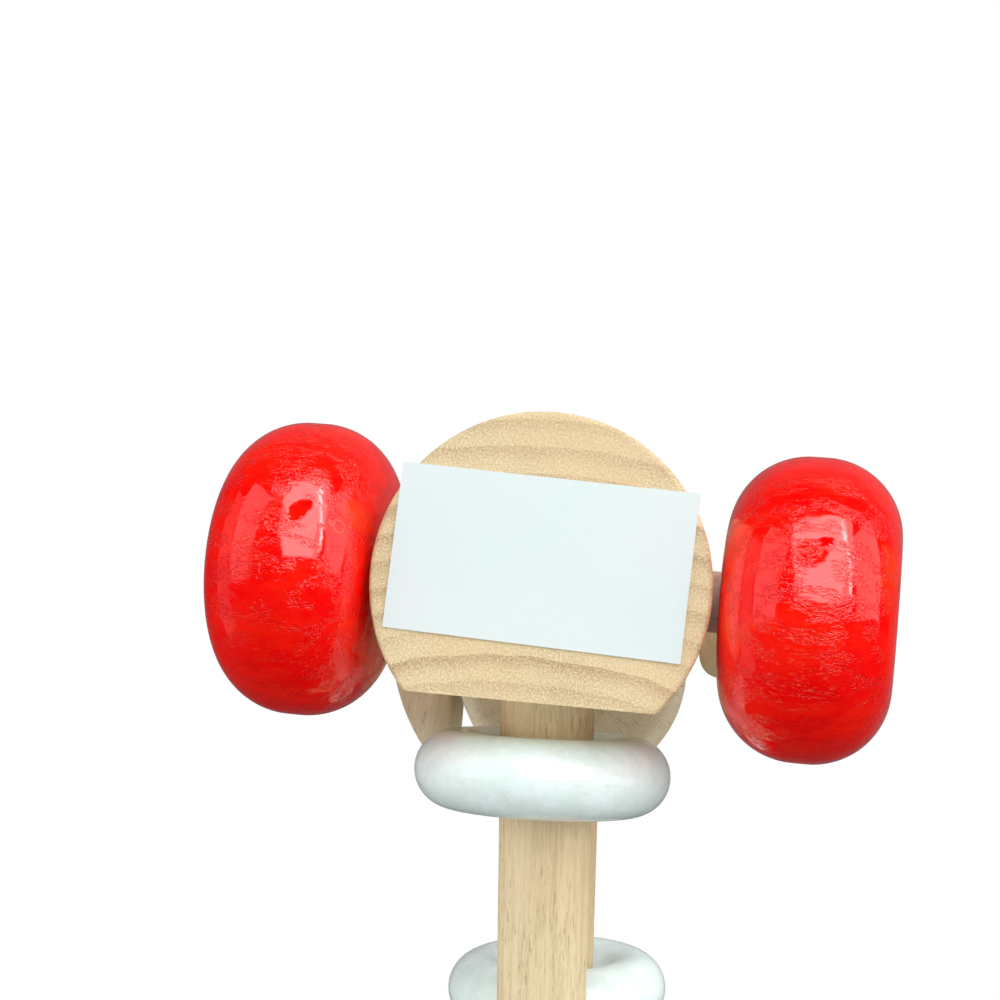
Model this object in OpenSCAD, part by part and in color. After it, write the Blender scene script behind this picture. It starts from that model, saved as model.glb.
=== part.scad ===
// Wooden push toy: a base block on two round wheels, a long handle, a round body with
// two swinging flaps, and two loose rings that rattle on the handle and on a spindle.
//
// The toy lies on the floor on its two wheels and on the grip knob, so the handle is level.
// X is along the axle, +Y is the way it rolls when pushed, +Z is up.
// The base block, the round body and all that they carry are drawn square to the block's
// underside, in the block's own frame, and on_base() leans that frame back to where it lies.
// The block's frame has its origin at the centre of the underside.

/* [Base block] */
// Radius of the turned block
block_r = 21.9; // [20:0.1:25]
// Radius at the block's upper end
block_top_r = 19.5; // [18:0.1:20]
// Thickness of the block
block_h = 25; // [24:0.5:30]
// Distance from the block's centre to the flat that takes the handle
flat_y = 14.8; // [13:0.1:17]
// Rounding of the block's edges
block_edge = 0.6; // [0.3:0.1:1.5]

/* [Label] */
// Length of the blank label
label_l = 38.1; // [30:0.1:40]
// Width of the blank label
label_w = 21.2; // [15:0.1:25]
// How far the label sits in front of the block's centre
label_y = 2.9; // [0:0.1:4]
// How far the label is turned, in degrees
label_turn = 2.1; // [-5:0.1:5]

/* [Wheels and axle] */
// Radius of a wheel
wheel_r = 19.7; // [18:0.1:24]
// Width of a wheel
wheel_w = 22; // [20.5:0.1:23]
// Radius of a wheel's two rounded edges
wheel_edge = 10.1; // [8:0.1:10.2]
// Distance between the middles of the two wheels
track = 67; // [66.6:0.1:80]
// Radius of the axle
axle_r = 4; // [3:0.1:4.5]
// Height of the axle above the block's underside
axle_h = 13; // [12:0.1:14]

/* [Handle] */
// Radius of the handle
handle_r = 6.25; // [5:0.05:7]
// Distance from the axle to the far end of the handle
handle_l = 500; // [300:5:600]
// Angle between the handle and the block's underside, in degrees
handle_lean = 22; // [20:0.5:24]
// How far the handle's axis passes under the axle
handle_drop = 2.9; // [2.7:0.1:3.0]

/* [Rings] */
// Outer radius of a loose ring
ring_r = 17.2; // [16:0.1:17.3]
// Radius of the hole that runs on the handle
lower_bore = 9.1; // [8.9:0.1:9.5]
// Radius of the hole that runs on the spindle
upper_bore = 6.6; // [6.5:0.1:9]
// Thickness of a ring
ring_t = 10.4; // [10:0.1:11.2]

/* [Body, spindle and flaps] */
// Radius of the round body
body_r = 16.8; // [15:0.1:16.9]
// Height of its lower face above the block's underside
body_z = 38; // [37.8:0.1:39]
// Height of the round body itself
body_h = 24; // [24:0.5:26]
// Radius at the body's upper end
body_top_r = 14; // [13:0.1:16]
// How far its axis lies to the right of the block's centre
body_side = 1; // [0:0.1:1]
// How far its axis lies behind the block's centre
body_back = 10.4; // [9:0.1:10.6]
// Radius of the cross pin
pin_r = 3; // [2.5:0.1:3.5]
// Radius of the spindle
spindle_r = 2.5; // [2:0.1:2.6]
// Radius of the domed outer face of a flap
dome_r = 28.7; // [28:0.1:29.2]

/* [Hidden] */
$fn = 96;

glue_gap = 0.02;
running_gap = 0.06;
// How far a cutting shape goes past the face that it cuts
past = 1;
label_t = 0.25;
// How far the axle's ends stand inside the wheels' outer faces
axle_inset = 1;

beech = [0.87, 0.76, 0.60];
red = [0.90, 0.10, 0.06];
white = [0.88, 0.93, 0.93];

handle_z = wheel_r - handle_drop;
knob_r = handle_z;
knob_flat = 15.8;
block_front = (block_r - block_edge) * cos(handle_lean)
    + (axle_h - block_edge) * sin(handle_lean) + block_edge;
axle_y = (handle_l + knob_flat - block_front) / 2;

// Where along the handle, from the point below the axle
socket_end = 6.5;
lower_ring_at = 25.1;
stop_at = 80;
stop_r = 11.5;
stop_w = 10;
stop_end_r = 9;

// Height of the spindle's line above the block's underside, on the body's axis
spindle_z = 48.5;
// Where along the spindle, from the body's axis
spindle_start = 5;
upper_ring_at = 54.9;
bead_at = 90;
bead_r = 11;
bead_w = 17;
bead_end_r = 5;
// Wood left between the blind hole and the bead's far face
bead_wall = 2;

ring_section = ring_t / 2;
lower_ring_lean = 20.6;
lower_ring_turn = 2.2;
upper_ring_lean = 16.7;
upper_ring_turn = 4.6;
lower_ring_off = [0.5, -0.2];
upper_ring_off = [3.3, 0.8];

neck_r = 5.8;
body_edge = 3;
// The neck's locating pin: its depth in the block, and its whole length
neck_pin_low = 2.5;
neck_pin_l = 15;

pivot_y = -3;
pivot_z = 46;
flap_in = 17.15;
flap_play = 1.2;
// The flap's round ends, the distance between their centres, and its rounded inner edge
flap_r = 7;
flap_reach = 17;
flap_edge = 3;
flap_dome_back = 3.1;
cap_in = 29.4;
cap_w = 7;
cap_r = 6.2;
cap_end_r = 3.7;
// Depth of the cap's blind hole
cap_seat = 5;

// The axle's place on the floor frame, with the block's frame leaned back about it
module on_base() {
    translate([0, axle_y, wheel_r]) rotate([handle_lean, 0, 0])
        translate([0, 0, -axle_h]) children();
}

// A frame with +Z along the handle, away from the block, and its origin below the axle
module along_handle() {
    translate([0, axle_y, handle_z]) rotate([90, 0, 0]) children();
}

// The same for the spindle, which is parallel to the handle, with its origin on the body's axis
module along_spindle() {
    on_base() translate([0, -body_back, spindle_z]) rotate([90 - handle_lean, 0, 0]) children();
}

// A disc of radius r and height h with its edges rounded by e, as a revolved outline
module turned_disc(r, h, e) {
    rotate_extrude() {
        square([r - e, h]);
        translate([0, e]) square([r, h - 2 * e]);
        translate([r - e, e]) circle(r = e, $fn = 32);
        translate([r - e, h - e]) circle(r = e, $fn = 32);
    }
}

// A dowel along +Z from z0 to z1 with a small rounded edge at both ends
module dowel(r, z0, z1, e = 0.5) {
    translate([0, 0, z0]) turned_disc(r, z1 - z0, e);
}

// A rounded wooden wheel about +Z: two broad round edges leave a narrow level tread
module wheel_form() {
    half = wheel_w / 2;
    difference() {
        rotate_extrude() intersection() {
            union() {
                translate([0, -half]) square([wheel_r - wheel_edge, wheel_w]);
                translate([0, wheel_edge - half]) square([wheel_r, wheel_w - 2 * wheel_edge]);
                for (side = [-1, 1]) translate([wheel_r - wheel_edge, side * (half - wheel_edge)])
                    circle(r = wheel_edge);
            }
            translate([0, -wheel_w]) square([2 * wheel_r, 2 * wheel_w]);
        }
        cylinder(r = axle_r + glue_gap, h = wheel_w + 2 * past, center = true);
    }
}

// The block's form: its side tapers from radius r at the underside to top_r
module tapered_disc(r, top_r, h, e) {
    rotate_extrude() {
        polygon([[0, 0], [r - e, 0], [r, e], [top_r, h - e], [top_r - e, h], [0, h]]);
        translate([r - e, e]) circle(r = e, $fn = 24);
        translate([top_r - e, h - e]) circle(r = e, $fn = 24);
    }
}

// A ring about +Z, full round outside, with a plain drilled hole
module ring_form(bore) {
    difference() {
        rotate_extrude() translate([ring_r - ring_section, 0]) circle(r = ring_section);
        cylinder(r = bore, h = ring_t + 2 * past, center = true);
    }
}

// A turned bead about +Z: radius r, width w, a round belly and flat ends
module bead_form(r, w, end_r) {
    belly = ((r - end_r) * (r - end_r) + w * w / 4) / (2 * (r - end_r));
    rotate_extrude() {
        intersection() {
            translate([r - belly, 0]) circle(r = belly);
            translate([0, -w / 2]) square([r, w]);
        }
        translate([0, -w / 2]) square([end_r, w]);
    }
}

// A flap with its pivot on the origin, its inner face at x = inner and its tip towards +Z:
// two round ends joined by straight sides, with rounded edges inside and a domed outer face
module flap_form(inner) {
    difference() {
        intersection() {
            translate([inner, 0, 0]) rotate([90, 0, 90]) {
                turned_disc(flap_r, dome_r, flap_edge);
                translate([0, flap_reach, 0]) turned_disc(flap_r, dome_r, flap_edge);
                rotate([-90, 0, 0]) linear_extrude(height = flap_reach) flap_section();
            }
            translate([inner - flap_in - flap_play, 0, flap_dome_back]) sphere(r = dome_r);
        }
        rotate([0, 90, 0]) cylinder(r = pin_r + running_gap, h = 3 * dome_r, center = true);
    }
}

// The flap's section between its round ends, before its outer face is domed
module flap_section() {
    translate([-flap_r, -dome_r]) square([2 * flap_r, dome_r - flap_edge]);
    translate([flap_edge - flap_r, -dome_r]) square([2 * (flap_r - flap_edge), dome_r]);
    for (side = [-1, 1])
        translate([side * (flap_r - flap_edge), -flap_edge]) circle(r = flap_edge, $fn = 32);
}

module base_block() color(beech) on_base() difference() {
    tapered_disc(block_r, block_top_r, block_h, block_edge);
    translate([-block_r, -2 * block_r, -past])
        cube([2 * block_r, 2 * block_r - flat_y, block_h + 2 * past]);
    translate([0, 0, axle_h]) rotate([0, 90, 0])
        cylinder(r = axle_r + running_gap, h = 3 * block_r, center = true);
    translate([0, 0, axle_h]) rotate([90 - handle_lean, 0, 0]) translate([0, -handle_drop, socket_end])
        cylinder(r = handle_r + glue_gap, h = 2 * block_r);
    translate([body_side, -body_back, block_h - neck_pin_low]) cylinder(r = pin_r + glue_gap, h = block_h);
}

module blank_label() color(white) on_base() translate([0, label_y, -label_t]) rotate([0, 0, label_turn])
    translate([-label_l / 2, -label_w / 2, 0]) cube([label_l, label_w, label_t]);

module axle() color(beech) translate([0, axle_y, wheel_r]) rotate([0, 90, 0])
    dowel(axle_r, axle_inset - (track + wheel_w) / 2, (track + wheel_w) / 2 - axle_inset);

module wheel_at(side) translate([side * track / 2, axle_y, wheel_r]) rotate([0, 90, 0]) wheel_form();
module wheel_left() color(red) wheel_at(-1);
module wheel_right() color(red) wheel_at(1);

module handle() color(beech) along_handle() dowel(handle_r, socket_end, handle_l);

module ring_stop() color(beech) along_handle() translate([0, 0, stop_at]) difference() {
    bead_form(stop_r, stop_w, stop_end_r);
    cylinder(r = handle_r + glue_gap, h = stop_w + 2 * past, center = true);
}

module grip_knob() color(red) along_handle() translate([0, 0, handle_l]) difference() {
    intersection() {
        sphere(r = knob_r);
        translate([0, 0, -knob_flat]) cylinder(r = knob_r, h = 2 * knob_flat);
    }
    translate([0, 0, -2 * knob_r]) cylinder(r = handle_r + glue_gap, h = 2 * knob_r);
}

module ring_lower() color(white) along_handle()
    translate([lower_ring_off[0], lower_ring_off[1], lower_ring_at])
        rotate([lower_ring_lean, -lower_ring_turn, 0]) ring_form(lower_bore);

// The round body stands on a neck that is turned from the same piece
module round_body() color(beech) on_base() difference() {
    translate([body_side, -body_back, 0]) {
        translate([0, 0, body_z]) tapered_disc(body_r, body_top_r, body_h, body_edge);
        translate([0, 0, block_h]) cylinder(r = neck_r, h = body_z + body_edge - block_h);
    }
    translate([body_side, -body_back, block_h - past])
        cylinder(r = pin_r + glue_gap, h = neck_pin_l - neck_pin_low + past);
    translate([0, pivot_y, pivot_z]) rotate([0, 90, 0])
        cylinder(r = pin_r + glue_gap, h = 3 * body_r, center = true);
    translate([0, -body_back, spindle_z]) rotate([90 - handle_lean, 0, 0]) translate([0, 0, spindle_start])
        cylinder(r = spindle_r + glue_gap, h = 2 * body_r);
}

module neck_pin() color(beech) on_base() translate([body_side, -body_back, 0])
    dowel(pin_r, block_h - neck_pin_low, block_h + neck_pin_l - neck_pin_low);

module spindle() color(beech) along_spindle()
    dowel(spindle_r, spindle_start, bead_at + bead_w / 2 - bead_wall);

module spindle_bead() color(red) along_spindle() translate([0, 0, bead_at]) difference() {
    bead_form(bead_r, bead_w, bead_end_r);
    translate([0, 0, -bead_w]) cylinder(r = spindle_r + glue_gap, h = 1.5 * bead_w - bead_wall);
}

module ring_upper() color(white) along_spindle()
    translate([upper_ring_off[0], upper_ring_off[1], upper_ring_at])
        rotate([upper_ring_lean, -upper_ring_turn, 0]) ring_form(upper_bore);

module cross_pin() color(beech) on_base() translate([0, pivot_y, pivot_z]) rotate([0, 90, 0])
    dowel(pin_r, -cap_in - cap_seat, cap_in + cap_seat);

// The left flap stands up beside the round body, the right one is swung back
module flap_left() color(beech) on_base() translate([0, pivot_y, pivot_z])
    mirror([1, 0, 0]) flap_form(flap_in);
module flap_right() color(beech) on_base() translate([0, pivot_y, pivot_z])
    rotate([90, 0, 0]) flap_form(flap_in + flap_play);

module cap_at(side) on_base() translate([side * (cap_in + cap_w / 2), pivot_y, pivot_z])
    rotate([0, side * 90, 0]) difference() {
        bead_form(cap_r, cap_w, cap_end_r);
        translate([0, 0, -cap_w]) cylinder(r = pin_r + glue_gap, h = cap_w / 2 + cap_seat);
    }
module pin_cap_left() color(red) cap_at(-1);
module pin_cap_right() color(red) cap_at(1);

base_block();
blank_label();
axle();
wheel_left();
wheel_right();
handle();
ring_stop();
grip_knob();
ring_lower();
round_body();
neck_pin();
spindle();
spindle_bead();
ring_upper();
cross_pin();
flap_left();
flap_right();
pin_cap_left();
pin_cap_right();
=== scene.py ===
import math

import bpy
from mathutils import Matrix, Vector

# Looks, floor, lights and camera of the wooden push toy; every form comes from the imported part

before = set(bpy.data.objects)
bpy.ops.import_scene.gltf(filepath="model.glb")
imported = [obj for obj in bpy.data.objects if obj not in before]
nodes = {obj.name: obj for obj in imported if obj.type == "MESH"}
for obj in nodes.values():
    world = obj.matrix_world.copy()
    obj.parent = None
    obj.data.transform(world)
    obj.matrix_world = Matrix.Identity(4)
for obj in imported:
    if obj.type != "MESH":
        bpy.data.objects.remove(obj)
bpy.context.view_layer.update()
scene = bpy.context.scene

MM = 1000
WHITE_LIGHT = (1, 1, 1, 1)

# Sizes and places of the part, as its source has them, in metres
LEAN = math.radians(22)
WHEEL_R = 0.0197
AXLE_H = 0.013
AXLE_Y = 0.245403
HANDLE_Z = 0.0168
BODY_BACK = 0.0104
SPINDLE_Z = 0.0485
PIVOT_Y = -0.003
PIVOT_Z = 0.046

# The block's own frame, which leans back about the axle
BASE = (Matrix.Translation((0, AXLE_Y, WHEEL_R)) @ Matrix.Rotation(LEAN, 4, "X")
        @ Matrix.Translation((0, 0, -AXLE_H)))
BASE_TURN = BASE.to_3x3()

# The photograph's camera, fitted in a frame that has its origin on the underside and its Z out of it:
# turns in radians, lengths in metres, and CAM_SCALE in pixels for a metre at the origin's distance
CAM_TILT = -0.0744
CAM_YAW = -0.1931
CAM_ROLL = -0.0884
CAM_SHIFT = (0.0047096, -0.0105525)
CAM_DIST = 0.24063
CAM_SCALE = 7976.6
CAM_NEAR = 0.01
PICTURE_PIXELS = 1000
SENSOR_MM = 36


def rotation(tilt, yaw, roll):
    """The photograph's axes (right, up, towards the camera) as rows."""
    rx = Matrix.Rotation(tilt, 3, "X")
    ry = Matrix.Rotation(yaw, 3, "Y")
    rz = Matrix.Rotation(roll, 3, "Z")
    return rz @ rx @ ry


def to_block(v):
    """What the frame of the camera's fitting has, in the block's frame: half a turn about Y."""
    return Vector((-v[0], v[1], -v[2]))


def to_part(v):
    """A direction of the camera's fitting, in the part's frame."""
    return BASE_TURN @ to_block(v)


view = rotation(CAM_TILT, CAM_YAW, CAM_ROLL)
eye = view.transposed() @ Vector((-CAM_SHIFT[0], -CAM_SHIFT[1], CAM_DIST))
cam_data = bpy.data.cameras.new("camera")
cam_data.sensor_width = SENSOR_MM
cam_data.sensor_fit = "HORIZONTAL"
cam_data.lens = CAM_SCALE * CAM_DIST * SENSOR_MM / PICTURE_PIXELS
cam_data.clip_start = CAM_NEAR
cam = bpy.data.objects.new("camera", cam_data)
axes = Matrix([to_part(row) for row in view]).transposed()
cam.matrix_world = Matrix.Translation(BASE @ to_block(eye)) @ axes.to_4x4()
scene.collection.objects.link(cam)
scene.camera = cam
scene.view_settings.view_transform = "Standard"


# Node helpers

def put(tree, kind, sockets=None, **settings):
    """Adds a node; a socket's value may be a number, a colour or another node's output."""
    made = tree.nodes.new(kind)
    for key, value in settings.items():
        setattr(made, key, value)
    for key, value in (sockets or {}).items():
        if isinstance(value, bpy.types.NodeSocket):
            tree.links.new(value, made.inputs[key])
        else:
            made.inputs[key].default_value = value
    return made


def calc(tree, op, a, b=0.0, c=0.0):
    """One step of arithmetic on numbers or outputs."""
    return put(tree, "ShaderNodeMath", {0: a, 1: b, 2: c}, operation=op).outputs[0]


def product(tree, *factors):
    """All factors multiplied, from the first to the last."""
    result = factors[0]
    for factor in factors[1:]:
        result = calc(tree, "MULTIPLY", result, factor)
    return result


def build_up(tree, level, *layers):
    """A level, and for each pair of an output and an amount what the output adds to it."""
    for value, amount in layers:
        level = calc(tree, "MULTIPLY_ADD", value, amount, level)
    return level


def vector(tree, op, a, b):
    """One step of arithmetic on vectors."""
    return put(tree, "ShaderNodeVectorMath", {0: a, 1: b}, operation=op).outputs[0]


def moved(tree, v, step):
    """The same vector elsewhere, so that one noise doesn't follow another."""
    return vector(tree, "ADD", v, step)


def lengthened(tree, v, along):
    """The same vector with its Z, along the grain, multiplied: under 1, noises are drawn out that way."""
    return vector(tree, "MULTIPLY", v, (1, 1, along))


def noise(tree, v, scale, detail=2.0, rough=0.5, warp=0.0, along=None):
    """Noise from 0 to 1 round 0.5; scale is in cells for a millimetre, and along as in lengthened."""
    if along is not None:
        v = lengthened(tree, v, along)
    return put(tree, "ShaderNodeTexNoise", {"Vector": v, "Scale": scale, "Detail": detail,
                                            "Roughness": rough, "Distortion": warp}).outputs["Fac"]


def centred(tree, value):
    """A noise with its middle at 0."""
    return calc(tree, "SUBTRACT", value, 0.5)


def remap(tree, value, low, high, to_low=0.0, to_high=1.0, curve="SMOOTHSTEP"):
    """A value's range from low to high, spread over another range."""
    return put(tree, "ShaderNodeMapRange", {0: value, 1: low, 2: high, 3: to_low, 4: to_high},
               interpolation_type=curve).outputs[0]


# The Mix node has sockets for each kind of value, and these are the ones for colours
MIX_FACTOR = 0
MIX_FROM = 6
MIX_TO = 7
MIX_RESULT = 2


def blend(tree, factor, base, colour):
    """The base with a colour over it."""
    return put(tree, "ShaderNodeMix", {MIX_FACTOR: factor, MIX_FROM: base, MIX_TO: colour},
               data_type="RGBA").outputs[MIX_RESULT]


def start(name):
    """A new material with nothing but a shader on its output."""
    mat = bpy.data.materials.new(name)
    mat.use_nodes = True
    tree = mat.node_tree
    tree.nodes.clear()
    shader = put(tree, "ShaderNodeBsdfPrincipled")
    put(tree, "ShaderNodeOutputMaterial", {"Surface": shader.outputs[0]})
    return mat, tree, shader


# How far a seed of 1 moves a piece's noises, in millimetres, and the cosine from which two axes are too
# near each other to be crossed
SEED_STEP = (1, 1.7, 2.3)
NEARLY_ALONG = 0.9


def grain_vector(tree, to_grain, seed=0.0):
    """The place in millimetres in the grain's frame, and the same place moved by the seed."""
    coord = put(tree, "ShaderNodeTexCoord").outputs["Object"]
    place, turn, _ = to_grain.inverted().decompose()
    v = put(tree, "ShaderNodeMapping", {"Vector": coord, "Location": place * MM, "Scale": (MM, MM, MM),
                                        "Rotation": turn.to_euler("XYZ")}).outputs[0]
    return v, moved(tree, v, tuple(seed * step for step in SEED_STEP))


def axis_frame(origin, grain, pith):
    """The grain's frame: Z is the tree's pith, which passes the origin at the two distances in pith."""
    z = Vector(grain).normalized()
    other = Vector((1, 0, 0)) if abs(z.x) < NEARLY_ALONG else Vector((0, 1, 0))
    y = z.cross(other).normalized()
    x = y.cross(z)
    made = Matrix((x, y, z)).transposed().to_4x4()
    made.translation = Vector(origin) + x * pith[0] + y * pith[1]
    return made


def lin(r, g, b):
    """A colour given in sRGB from 0 to 255, as linear values."""
    def one(v):
        v /= 255
        return v / 12.92 if v <= 0.04045 else ((v + 0.055) / 1.055) ** 2.4
    return (one(r), one(g), one(b), 1.0)


def add_bump(tree, shader, *layers):
    """Bump from pairs of an output and its height in millimetres."""
    made = put(tree, "ShaderNodeBump", {"Strength": 1.0, "Distance": 1 / MM,
                                        "Height": build_up(tree, 0.0, *layers)})
    tree.links.new(made.outputs[0], shader.inputs["Normal"])


# Beech: the colours that every piece has, how the wood takes light, and the depth of its pores and rays
# in millimetres

RAY = lin(158, 124, 84)
GRAIN = lin(248, 238, 202)
WARM = lin(228, 190, 148)
WARM_COVER = 0.30
BEECH_IOR = 1.45
WOOD_ROUGH = 0.52
PORE_ROUGH = 0.12
WOOD_DEPTH = 0.012

# Its rings: how far quick waves move them in millimetres, the parts of a year at which the dark wood begins
# and ends, the strength of the weakest year, and that of the slow patches over them
QUICK_WAVE = 0.7
EARLY_WOOD = 0.25
RING_END = 0.93
WEAK_YEAR = 0.4
PATCHES = 0.55

# Its ray flecks: how radius, angle round the pith and height are stretched before their noise, and how soft
# the edges are
RAY_SIZES = (0.3, 150.0, 0.28)
RAY_EDGE = 0.10


def beech(name, to_grain, light, dark, ring=2.4, wobble=1.2, band=0.3, fleck=0.5, speck=0.25,
          fibre=0.25, grit=0.0, seed=0.0):
    """Solid beech, cut by whatever surface shows.

    ring is the width of a year and wobble its waviness, in millimetres. band, fleck, speck, fibre and grit
    are the strengths of the rings, ray flecks, pores, fibres and pale grains.
    """
    mat, tree, shader = start(name)
    v, shifted = grain_vector(tree, to_grain, seed)
    x, y, z = put(tree, "ShaderNodeSeparateXYZ", {0: v}).outputs
    flat = put(tree, "ShaderNodeCombineXYZ", {0: x, 1: y}).outputs[0]
    radius = put(tree, "ShaderNodeVectorMath", {0: flat}, operation="LENGTH").outputs["Value"]

    # Rings round the pith: each darkens slowly and ends sharply, and some years are weaker
    slow = noise(tree, shifted, scale=0.055, along=0.25)
    quick = noise(tree, shifted, scale=0.25, along=0.2)
    bent = build_up(tree, radius, (centred(tree, slow), 2 * wobble), (centred(tree, quick), QUICK_WAVE))
    years = calc(tree, "DIVIDE", bent, ring)
    phase = calc(tree, "FRACT", years)
    chance = put(tree, "ShaderNodeTexWhiteNoise", {"W": calc(tree, "FLOOR", years)},
                 noise_dimensions="1D").outputs["Value"]
    strength = build_up(tree, WEAK_YEAR, (chance, 1 - WEAK_YEAR))
    rise = remap(tree, phase, EARLY_WOOD, RING_END)
    fall = remap(tree, phase, RING_END, 1.0, 1.0, 0.0)
    rings = product(tree, rise, fall, strength, band)

    # Ray flecks: thin plates that run out from the pith, and some places have more of them than others
    angle = calc(tree, "ARCTAN2", y, x)
    cell = [calc(tree, "MULTIPLY", part, size) for part, size in zip((radius, angle, z), RAY_SIZES)]
    polar = put(tree, "ShaderNodeCombineXYZ", dict(enumerate(cell))).outputs[0]
    crowd = noise(tree, shifted, scale=0.35, detail=1.0, along=0.4)
    least = remap(tree, crowd, low=0.35, high=0.65, to_low=0.68, to_high=0.56)
    rays = remap(tree, noise(tree, polar, scale=1.5), least, calc(tree, "ADD", least, RAY_EDGE),
                 curve="LINEAR")
    rays = product(tree, rays, fleck)

    # Pores, patches and fibres run along the grain, and with the rings they make the tone
    pores = noise(tree, shifted, scale=3.4, rough=0.7, along=0.10)
    pores = remap(tree, pores, low=0.62, high=0.36)
    patch = noise(tree, shifted, scale=0.11, detail=3.0, rough=0.55, along=0.15)
    fibres = noise(tree, shifted, scale=2.4, detail=3.0, rough=0.6, along=0.035)
    tone = build_up(tree, rings, (pores, speck), (centred(tree, fibres), 2 * fibre),
                    (centred(tree, patch), PATCHES))
    tone = calc(tree, "MINIMUM", calc(tree, "MAXIMUM", tone, 0.0), 1.0)
    shade = blend(tree, tone, light, dark)
    shade = blend(tree, rays, shade, RAY)

    # Pale grains as on a sawn end, and slow changes to a warmer colour
    grains = noise(tree, shifted, scale=3.9, rough=0.6, along=0.2)
    grains = remap(tree, grains, low=0.48, high=0.66)
    shade = blend(tree, product(tree, grains, grit), shade, GRAIN)
    warm = noise(tree, shifted, scale=0.04, detail=1.0)
    warm = remap(tree, warm, low=0.40, high=0.62, to_high=WARM_COVER)
    shade = blend(tree, warm, shade, WARM)

    tree.links.new(shade, shader.inputs["Base Color"])
    tree.links.new(build_up(tree, WOOD_ROUGH, (pores, PORE_ROUGH)), shader.inputs["Roughness"])
    add_bump(tree, shader, (pores, -WOOD_DEPTH), (rays, -WOOD_DEPTH))
    shader.inputs["IOR"].default_value = BEECH_IOR
    return mat


# Lacquer: how fully each layer of colour covers, the part of a mark's half width with its full colour, and
# the width of a wrinkle in its noise

GLINT_COVER = 0.65
THIN_COVER = 0.6
MARK_COVER = 0.75
GROOVE_SHADE_COVER = 0.17
MARK_CORE = 0.4
CRACK_WIDTH = 0.09

# Its depths and heights in millimetres, its roughness and what adds to it, and its index of refraction
CRACK_DEPTH = 0.030
SOFT_HEIGHT = 0.09
MOTTLE_HEIGHT = 0.010
COAT_ROUGH = 0.05
MOTTLE_ROUGH = 0.06
CRACK_ROUGH = 0.05
LACQUER_IOR = 1.6


def lacquer(name, to_grain, deep, bright, pale, thin, groove_shade, crackle=1.0, run=1.0, seed=0.0, marks=()):
    """Glossy lacquer over turned wood: uneven colour, pale dashes along the grain and a wrinkled skin.

    The colours are for deep and bright places, pale streaks that are painted glints, and marks, thin
    places, and painted shade in the grooves of the skin.
    crackle is the strength of the wrinkles, and run lengthens everything along the grain. Each mark is a
    small ring with a centre in millimetres, a radius and a line's half width.
    """
    mat, tree, shader = start(name)
    v, shifted = grain_vector(tree, to_grain, seed)
    shifted = lengthened(tree, shifted, run)

    # Uneven colour
    cloud = noise(tree, shifted, scale=0.15, detail=3.0, rough=0.6, warp=0.4)
    mottle = noise(tree, shifted, scale=0.8, detail=3.0, rough=0.65)
    depth = build_up(tree, 0.0, (cloud, 0.6), (mottle, 0.4))
    base = blend(tree, remap(tree, depth, low=0.42, high=0.60), deep, bright)

    # Pale streaks in some places, which are painted glints, and places where the lacquer is thin
    glint_dashes = noise(tree, shifted, scale=2.8, rough=0.6, along=0.8)
    glint_dashes = remap(tree, glint_dashes, low=0.54, high=0.72)
    place = noise(tree, moved(tree, shifted, (3, 8, 4)), scale=0.16)
    place = remap(tree, place, low=0.50, high=0.66)
    # Painted glints: the streaks take the pale colour
    base = blend(tree, product(tree, glint_dashes, place, GLINT_COVER), base, pale)
    bare = noise(tree, moved(tree, shifted, (17, 5, 9)), scale=0.08)
    bare = remap(tree, bare, low=0.60, high=0.70)
    base = blend(tree, product(tree, bare, THIN_COVER), base, thin)

    # Marks, which stay where they are whatever the seed
    for centre, radius, line in marks:
        off = put(tree, "ShaderNodeVectorMath", {0: v, 1: centre}, operation="DISTANCE").outputs["Value"]
        away = calc(tree, "ABSOLUTE", calc(tree, "SUBTRACT", off, radius))
        base = blend(tree, remap(tree, away, MARK_CORE * line, line, MARK_COVER, 0.0), base, pale)

    # Wrinkles: fine grooves where a noise passes its middle, broken into groups
    skin = noise(tree, shifted, scale=2.3, rough=0.55, warp=0.5)
    ridge = calc(tree, "ABSOLUTE", centred(tree, skin))
    broken = noise(tree, moved(tree, shifted, (31, 7, 3)), scale=0.5)
    broken = remap(tree, broken, low=0.43, high=0.57)
    cracks = product(tree, remap(tree, ridge, 0.0, CRACK_WIDTH, 1.0, 0.0), broken, crackle)
    # Painted shade: the wrinkles' grooves take a darker colour
    base = blend(tree, product(tree, cracks, GROOVE_SHADE_COVER), base, groove_shade)

    tree.links.new(base, shader.inputs["Base Color"])

    # Relief: the wrinkles, a soft waviness and the mottle
    soft = noise(tree, shifted, scale=0.3, along=1.5)
    add_bump(tree, shader, (cracks, -CRACK_DEPTH), (soft, SOFT_HEIGHT), (mottle, MOTTLE_HEIGHT))
    rough = build_up(tree, COAT_ROUGH, (mottle, MOTTLE_ROUGH), (cracks, CRACK_ROUGH))
    tree.links.new(rough, shader.inputs["Roughness"])
    shader.inputs["IOR"].default_value = LACQUER_IOR
    return mat


# Paper: its two tones, its fibres, their height in millimetres and its roughness

PAPER = lin(219, 233, 233)
PAPER_LIGHT = lin(222, 233, 232)
PAPER_FIBRE = lin(200, 206, 210)
FIBRE_COVER = 0.05
FIBRE_HEIGHT = 0.006
PAPER_ROUGH = 0.42
FIBRE_ROUGH = 0.15


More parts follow.
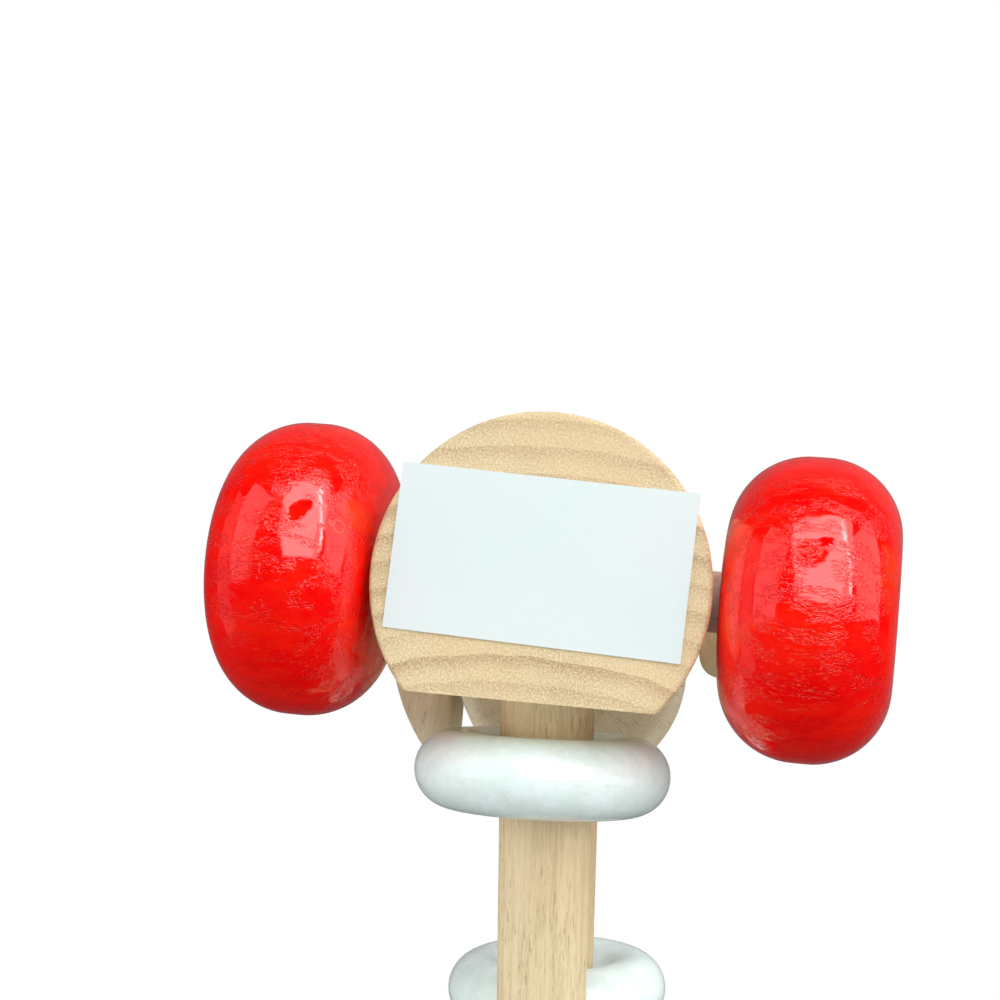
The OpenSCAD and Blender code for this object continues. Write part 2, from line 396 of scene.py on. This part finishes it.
def paper(name):
    """Blank coated paper: a faint fibre and a slow change of tone."""
    mat, tree, shader = start(name)
    v, _ = grain_vector(tree, BASE)
    fibres = noise(tree, v, scale=2.6, detail=4.0, rough=0.7, warp=0.6)
    slow = remap(tree, noise(tree, v, scale=0.05, detail=1.0), low=0.35, high=0.65)
    shade = blend(tree, slow, PAPER, PAPER_LIGHT)
    threads = remap(tree, fibres, low=0.35, high=0.70)
    shade = blend(tree, product(tree, threads, FIBRE_COVER), shade, PAPER_FIBRE)
    tree.links.new(shade, shader.inputs["Base Color"])
    add_bump(tree, shader, (fibres, FIBRE_HEIGHT))
    tree.links.new(build_up(tree, PAPER_ROUGH, (fibres, FIBRE_ROUGH)), shader.inputs["Roughness"])
    return mat


# Which material each node has

ALONG_X = (1, 0, 0)
BACK = (0, -1, 0)
BLOCK_UP = BASE_TURN @ Vector((0, 0, 1))
BLOCK_BACK = BASE_TURN @ Vector((0, -1, 0))
AXLE_AT = (0, AXLE_Y, WHEEL_R)
HANDLE_AT = (0, AXLE_Y, HANDLE_Z)
KNOB_AT = (0, 0, HANDLE_Z)
PIN_AT = BASE @ Vector((0, PIVOT_Y, PIVOT_Z))
SPINDLE_AT = BASE @ Vector((0, -BODY_BACK, SPINDLE_Z))
BLOCK_PITH = 0.075

LIGHT = lin(236, 217, 178)
DARK = lin(192, 162, 118)
PALE = lin(230, 222, 190)
DULL = lin(184, 172, 138)

# For each wooden node: the grain's frame, the light and the dark colour, and what differs from plain beech
WOODEN = {
    "base_block": (BASE @ Matrix.Translation((0, -BLOCK_PITH, 0)), lin(225, 206, 162), lin(174, 142, 100),
                   dict(ring=3.3, wobble=0.9, band=0.72, fleck=0.0, speck=0.40, fibre=0.3, grit=0.5)),
    # The axle's colours are lighter than plain beech: painted light, for the shade it lies in between the
    # block and the wheel
    "axle": (axis_frame(AXLE_AT, ALONG_X, (0.0, 0.03)), lin(252, 242, 224), lin(226, 202, 170),
             dict(ring=1.6, seed=3)),
    "handle": (axis_frame(HANDLE_AT, BACK, (0.008, 0.045)), lin(245, 227, 183), lin(182, 150, 106),
               dict(ring=1.3, wobble=1.0, band=0.22, speck=0.2, fibre=0.45, seed=7)),
    "ring_stop": (axis_frame(HANDLE_AT, BACK, (0.02, 0.02)), LIGHT, DARK, dict(seed=9)),
    "round_body": (axis_frame(SPINDLE_AT, BLOCK_UP, (0.03, 0.02)), PALE, DULL, dict(band=0.2, seed=11)),
    "neck_pin": (axis_frame(SPINDLE_AT, BLOCK_UP, (0.0, 0.01)), LIGHT, DARK, dict(seed=12)),
    # The spindle's colours are darker than plain beech: painted shade, for the shade it lies in beside the
    # handle
    "spindle": (axis_frame(SPINDLE_AT, BACK, (0.0, 0.02)), lin(214, 194, 156), lin(168, 142, 104),
                dict(ring=1.5, seed=13)),
    "cross_pin": (axis_frame(PIN_AT, ALONG_X, (0.0, 0.02)), LIGHT, DARK, dict(ring=1.5, seed=15)),
    # The left flap's light colour is lighter than the right flap's: painted light, for the shade it lies in
    "flap_left": (axis_frame(PIN_AT, BLOCK_UP, (0.04, 0.0)), lin(240, 226, 192), DULL,
                  dict(band=0.2, seed=17)),
    "flap_right": (axis_frame(PIN_AT, BLOCK_BACK, (-0.04, 0.01)), PALE, DULL, dict(band=0.2, seed=19)),
}

# In both sets of colours, the pale one paints glints in streaks and the marks, and the one for grooves is
# painted shade in the wrinkles
RED = dict(deep=(0.92, 0.0, 0.0, 1), bright=(0.99, 0.008, 0.001, 1), pale=(0.98, 0.070, 0.036, 1),
           thin=(0.92, 0.045, 0.004, 1), groove_shade=(0.35, 0.002, 0.002, 1))
WHITE = dict(deep=lin(228, 244, 240), bright=lin(236, 251, 249), pale=lin(247, 255, 254),
             thin=lin(231, 243, 239), groove_shade=lin(200, 216, 214))

# The small ring and the dot beside it on the wheel that stands at the left in the photograph
MARKS = (((10.8, -12.9, 25.5), 0.8, 0.25), ((11.3, -13.4, 26.3), 0.25, 0.2))

# For each painted node: the colours, a point on its axis, its axis, and what differs from plain lacquer
PAINTED = {
    "wheel_left": (RED, AXLE_AT, ALONG_X, dict(run=0.35, seed=21)),
    "wheel_right": (RED, AXLE_AT, ALONG_X, dict(run=0.35, seed=34, marks=MARKS)),
    "grip_knob": (RED, KNOB_AT, BACK, dict(run=0.5, seed=47)),
    "spindle_bead": (RED, SPINDLE_AT, BACK, dict(run=0.5, seed=60)),
    "pin_cap_left": (RED, PIN_AT, ALONG_X, dict(seed=73)),
    "pin_cap_right": (RED, PIN_AT, ALONG_X, dict(seed=86)),
    "ring_lower": (WHITE, HANDLE_AT, BACK, dict(crackle=0.35, seed=5)),
    "ring_upper": (WHITE, SPINDLE_AT, BACK, dict(crackle=0.35, seed=22)),
}

looks = {"blank_label": paper("label_paper")}
for name, (to_grain, light, dark, more) in WOODEN.items():
    looks[name] = beech("beech_" + name, to_grain, light, dark, **more)
for name, (colours, at, axis, more) in PAINTED.items():
    looks[name] = lacquer("lacquer_" + name, axis_frame(at, axis, (0, 0)), **colours, **more)
for name, mat in looks.items():
    nodes[name].data.materials.clear()
    nodes[name].data.materials.append(mat)


# The floor, which is seen from above only: from below it lets the camera and the light through

FLOOR_HALF = 3
FLOOR_GREY = (0.42, 0.42, 0.42, 1)
FLOOR_ROUGH = 0.9
FLOOR_GLOW = 0.50


def staged(name, corners, material):
    """A flat face that isn't part of the toy."""
    mesh = bpy.data.meshes.new(name)
    mesh.from_pydata(corners, [], [tuple(range(len(corners)))])
    mesh.materials.append(material)
    made = bpy.data.objects.new(name, mesh)
    scene.collection.objects.link(made)
    return made


floor_mat, tree, shader = start("floor")
shader.inputs["Base Color"].default_value = FLOOR_GREY
shader.inputs["Roughness"].default_value = FLOOR_ROUGH
to_camera = put(tree, "ShaderNodeLightPath").outputs["Is Camera Ray"]
glow = put(tree, "ShaderNodeEmission", {"Color": WHITE_LIGHT,
                                        "Strength": product(tree, to_camera, FLOOR_GLOW)})
lit = put(tree, "ShaderNodeAddShader", {0: shader.outputs[0], 1: glow.outputs[0]})
clear = put(tree, "ShaderNodeBsdfTransparent")
from_below = put(tree, "ShaderNodeNewGeometry").outputs["Backfacing"]
both = put(tree, "ShaderNodeMixShader", {0: from_below, 1: lit.outputs[0], 2: clear.outputs[0]})
tree.links.new(both.outputs[0], tree.nodes["Material Output"].inputs["Surface"])
corners = [(FLOOR_HALF * x, FLOOR_HALF * y, 0) for x, y in ((-1, -1), (1, -1), (1, 1), (-1, 1))]
floor = staged("floor", corners, floor_mat)
floor.visible_shadow = False
floor.visible_diffuse = False
floor.visible_glossy = False
floor.visible_transmission = False


# The world: white for the camera and a dim sky for the toy, which brightens from 30 degrees up

SKY_TINT = (0.97, 0.985, 1.0, 1)
SKY_FROM = math.sin(math.radians(30))
SKY_LEVELS = (0.04, 0.22)

world = bpy.data.worlds.new("studio")
scene.world = world
world.use_nodes = True
tree = world.node_tree
tree.nodes.clear()
to_camera = put(tree, "ShaderNodeLightPath").outputs["Is Camera Ray"]
direction = put(tree, "ShaderNodeTexCoord").outputs["Generated"]
up = put(tree, "ShaderNodeSeparateXYZ", {0: direction}).outputs[2]
level = remap(tree, up, SKY_FROM, 1.0, *SKY_LEVELS)
sky = put(tree, "ShaderNodeBackground", {"Color": SKY_TINT, "Strength": level})
white = put(tree, "ShaderNodeBackground", {"Color": WHITE_LIGHT, "Strength": 1.0})
mixed = put(tree, "ShaderNodeMixShader", {0: to_camera, 1: sky.outputs[0], 2: white.outputs[0]})
put(tree, "ShaderNodeOutputWorld", {0: mixed.outputs[0]})


# Lamps round a point on the underside: two windows, soft sides, and fills that leave no reflection

LAMP_DIST = 4.0
AIM = BASE @ Vector((0, -0.01, 0))

# Name, then azimuth, elevation, half width and half height in degrees as the toy sees them, radiance,
# whether it shows in reflections, and whether it lights matt surfaces
PANELS = (
    ("window", 20, 38, 30, 33, 2.4, True, True),
    ("window_gleam", 16, 38, 24, 31, 2.0, True, False),
    ("window_strip", 50, 36, 2, 25, 9.0, True, True),
    ("second_window", -50, 20, 18, 30, 1.1, True, True),
    ("side_left", -82, -2, 11, 36, 0.35, True, True),
    ("side_right", 80, 22, 22, 25, 1.5, True, True),
    ("fill_front", 5, -28, 45, 24, 0.55, False, True),
    ("fill_left", -78, -15, 25, 40, 1.65, False, True),
    ("fill_right", 82, -15, 25, 40, 1.0, False, True),
)


def facing(azimuth, elevation, distance):
    """The place and turn of what faces the toy, by its angles from the underside's normal, in degrees."""
    az = math.radians(azimuth)
    el = math.radians(elevation)
    out = to_part((math.sin(az) * math.cos(el), math.sin(el), math.cos(az) * math.cos(el)))
    x = to_part((0, 1, 0)).cross(out).normalized()
    turn = Matrix((x, out.cross(x), out)).transposed().to_4x4()
    return Matrix.Translation(AIM + out * distance) @ turn


def power(radiance, area):
    """The energy that gives a flat lamp its radiance."""
    return radiance * math.pi * area


def hang(data, place, glossy, diffuse=True):
    """Puts a lamp in its place, where the camera doesn't see it."""
    lamp = bpy.data.objects.new(data.name, data)
    lamp.matrix_world = place
    lamp.visible_camera = False
    lamp.visible_glossy = glossy
    lamp.visible_diffuse = diffuse
    scene.collection.objects.link(lamp)


for name, azimuth, elevation, half_width, half_height, radiance, glossy, diffuse in PANELS:
    data = bpy.data.lights.new(name, "AREA")
    data.shape = "RECTANGLE"
    data.size = 2 * LAMP_DIST * math.tan(math.radians(half_width))
    data.size_y = 2 * LAMP_DIST * math.tan(math.radians(half_height))
    data.energy = power(radiance, data.size * data.size_y)
    hang(data, facing(azimuth, elevation, LAMP_DIST), glossy, diffuse)


# A dark card in front of the window, which shows as the dark spot in the wheels' highlights: an oval whose
# edge has waves, each with a count, a size and an offset

CARD_COLOUR = (0.02, 0.02, 0.02, 1)
CARD_POINTS = 28
CARD_HALF = (0.30, 0.16)
CARD_WAVES = ((3, 0.10, 1.9), (7, 0.05, 0.0))
CARD_AT = (8, 44, 1.0)
CARD_TURN = math.radians(30)

card_mat, tree, shader = start("card")
shader.inputs["Base Color"].default_value = CARD_COLOUR
outline = []
for step in range(CARD_POINTS):
    turn = 2 * math.pi * step / CARD_POINTS
    reach = 1 + sum(size * math.sin(count * turn + offset) for count, size, offset in CARD_WAVES)
    outline.append((CARD_HALF[0] * reach * math.cos(turn), CARD_HALF[1] * reach * math.sin(turn), 0))
card = staged("card", outline, card_mat)
card.matrix_world = facing(*CARD_AT) @ Matrix.Rotation(CARD_TURN, 4, "Z")
card.visible_camera = False


# The lamp above, a disk that leaves no reflection

TOP_R = 2.15
TOP_RADIANCE = 2.4
TOP_WAY = Vector((-0.25, 0.55, 1.0)).normalized()

top = bpy.data.lights.new("top", "AREA")
top.shape = "DISK"
top.size = 2 * TOP_R
top.energy = power(TOP_RADIANCE, math.pi * TOP_R ** 2)
top_turn = TOP_WAY.to_track_quat("Z", "Y").to_matrix().to_4x4()
hang(top, Matrix.Translation(AIM + TOP_WAY * LAMP_DIST) @ top_turn, glossy=False)
